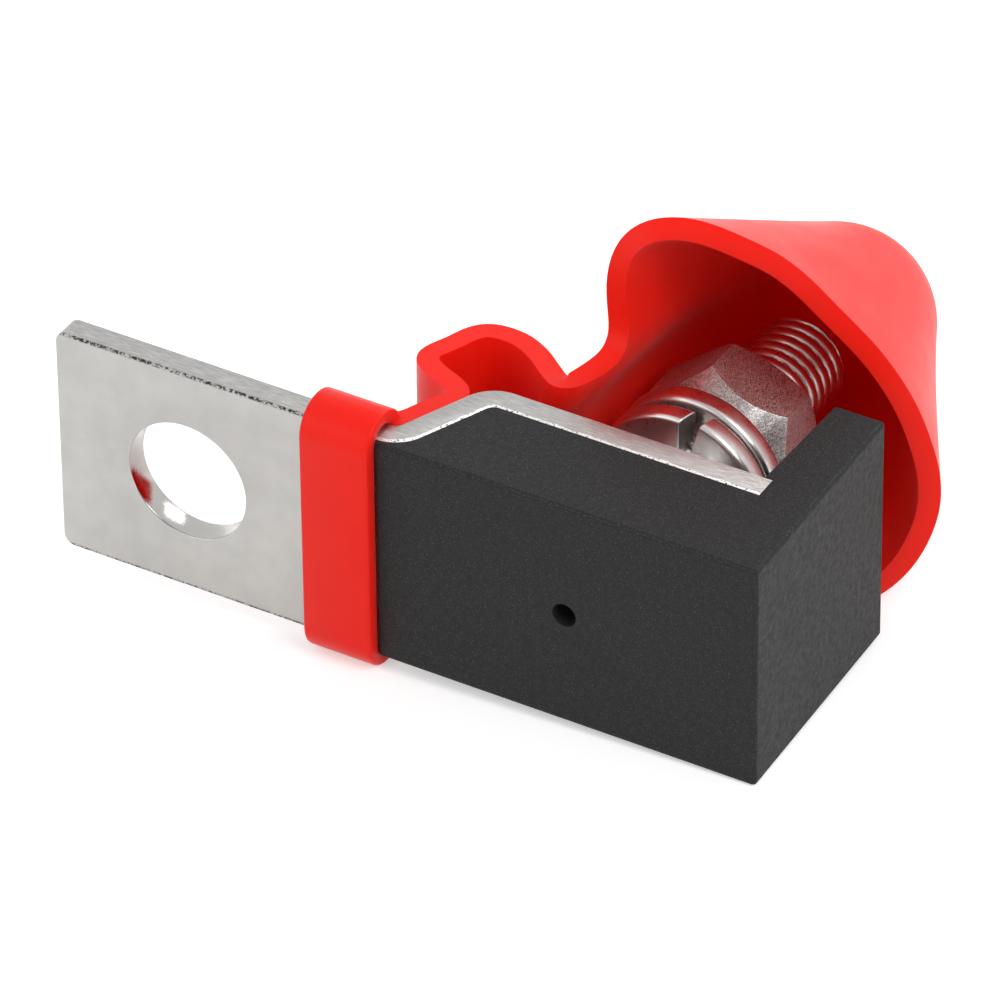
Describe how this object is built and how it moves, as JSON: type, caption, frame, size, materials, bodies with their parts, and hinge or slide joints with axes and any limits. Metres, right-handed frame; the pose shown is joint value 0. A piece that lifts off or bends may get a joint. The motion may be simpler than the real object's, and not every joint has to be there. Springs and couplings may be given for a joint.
{
  "type": "battery terminal fuse holder",
  "caption": "Fuse holder for a vehicle battery terminal: a bent bus with a post hole, a moulded block with a fuse stud, and a hinged red boot.",
  "frame": {"origin": "axis of the battery post hole at the tab's underside, in the middle of the bus's width", "axes": "+X along the bus from the tab to the end wall, +Y the way the fuse stud points, +Z across the bus's width and up, because the holder lies on its long side"},
  "size_m": [0.0642, 0.0519, 0.0347],
  "materials": {
    "black_moulding": "fine-grained black glass-filled moulding",
    "plated_copper": "satin tin plate over copper",
    "stainless": "bright machined stainless steel",
    "red_vinyl": "soft red moulded vinyl, satin"
  },
  "bodies": {
    "root": {"insulator_block": "black_moulding", "bus_bar": "plated_copper", "stud": "stainless", "boot_band": "red_vinyl"},
    "washers": {"lower_split_washer": "stainless", "upper_split_washer": "stainless"},
    "nut": {"hex_nut": "stainless"},
    "cap": {"boot_cap": "red_vinyl"}
  },
  "joints": [
    {"name": "washer_slide", "type": "slide", "parent": "root", "child": "washers", "axis": [0, 1, 0], "range_m": [-0.0064, 0.0014]},
    {"name": "nut_spin", "type": "hinge", "parent": "washers", "child": "nut", "pos_m": [0.0346, 0.0257, 0], "axis": [0, 1, 0], "range_deg": [-2200, 500]},
    {"name": "cap_swing", "type": "hinge", "parent": "root", "child": "cap", "pos_m": [0.0165, 0.01015, 0], "axis": [0, 0, 1], "range_deg": [0, 110]}
  ],
  "couplings": [
    {"joint": "nut_spin", "follows": "washer_slide", "rad_per_m": 5939}
  ]
}
